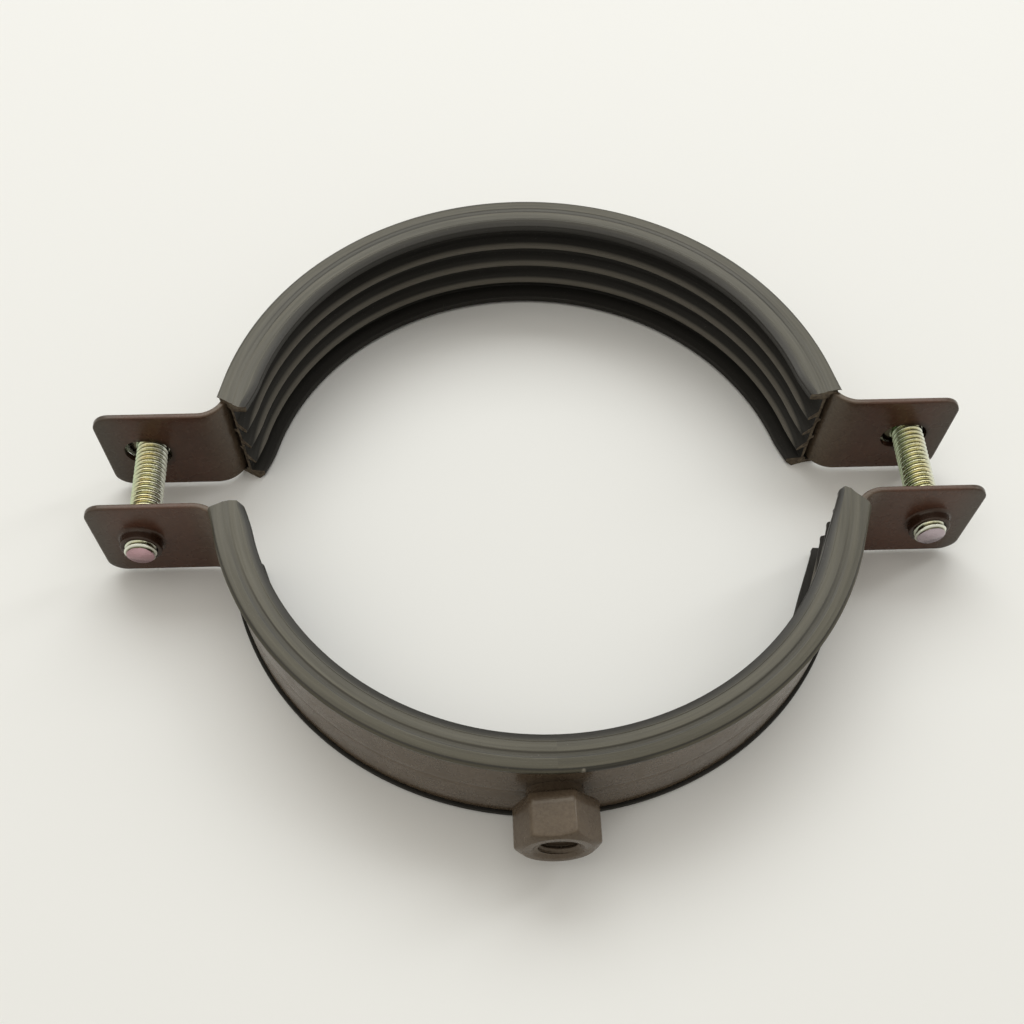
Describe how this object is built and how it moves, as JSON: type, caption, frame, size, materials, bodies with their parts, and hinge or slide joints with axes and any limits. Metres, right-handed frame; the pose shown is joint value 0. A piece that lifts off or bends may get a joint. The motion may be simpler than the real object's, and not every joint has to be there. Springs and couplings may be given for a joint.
{
  "type": "rubber lined pipe clamp",
  "caption": "Two-piece steel pipe clamp with a ribbed rubber lining, a closing screw at each side and a welded hexagon nut for hanging it from a threaded rod.",
  "frame": {"origin": "on the axis of the nut half's pipe seat, at the middle of the strip's width", "axes": "+Z along the pipe axis, +X towards the right-hand screw, +Y from the nut half to the screw-head half; the welded nut's mouth faces -Y"},
  "size_m": [0.1666, 0.1381, 0.022],
  "materials": {
    "painted_steel": "glossy thick dark brown paint",
    "lining_rubber": "satin black-brown moulded rubber",
    "plated_screw": "yellow-green zinc plating"
  },
  "bodies": {
    "nut_half": {"front_band": "painted_steel", "boss_nut": "painted_steel", "front_lining": "lining_rubber"},
    "rear_half": {"rear_band": "painted_steel", "rear_lining": "lining_rubber"},
    "left_screw": {"left_screw": "plated_screw"},
    "right_screw": {"right_screw": "plated_screw"}
  },
  "joints": [
    {"name": "clamp_close", "type": "slide", "parent": "nut_half", "child": "rear_half", "axis": [0, 1, 0], "range_m": [-0.0185, 0.002]},
    {"name": "left_screw_turn", "type": "hinge", "parent": "rear_half", "child": "left_screw", "pos_m": [-0.07435, 0.015, 0], "axis": [0, 1, 0], "range_deg": [-6680, 740]},
    {"name": "right_screw_turn", "type": "hinge", "parent": "rear_half", "child": "right_screw", "pos_m": [0.07435, 0.015, 0], "axis": [0, 1, 0], "range_deg": [-6680, 740]}
  ],
  "couplings": [
    {"joint": "left_screw_turn", "follows": "clamp_close", "rad_per_m": 6283.2},
    {"joint": "right_screw_turn", "follows": "clamp_close", "rad_per_m": 6283.2}
  ]
}
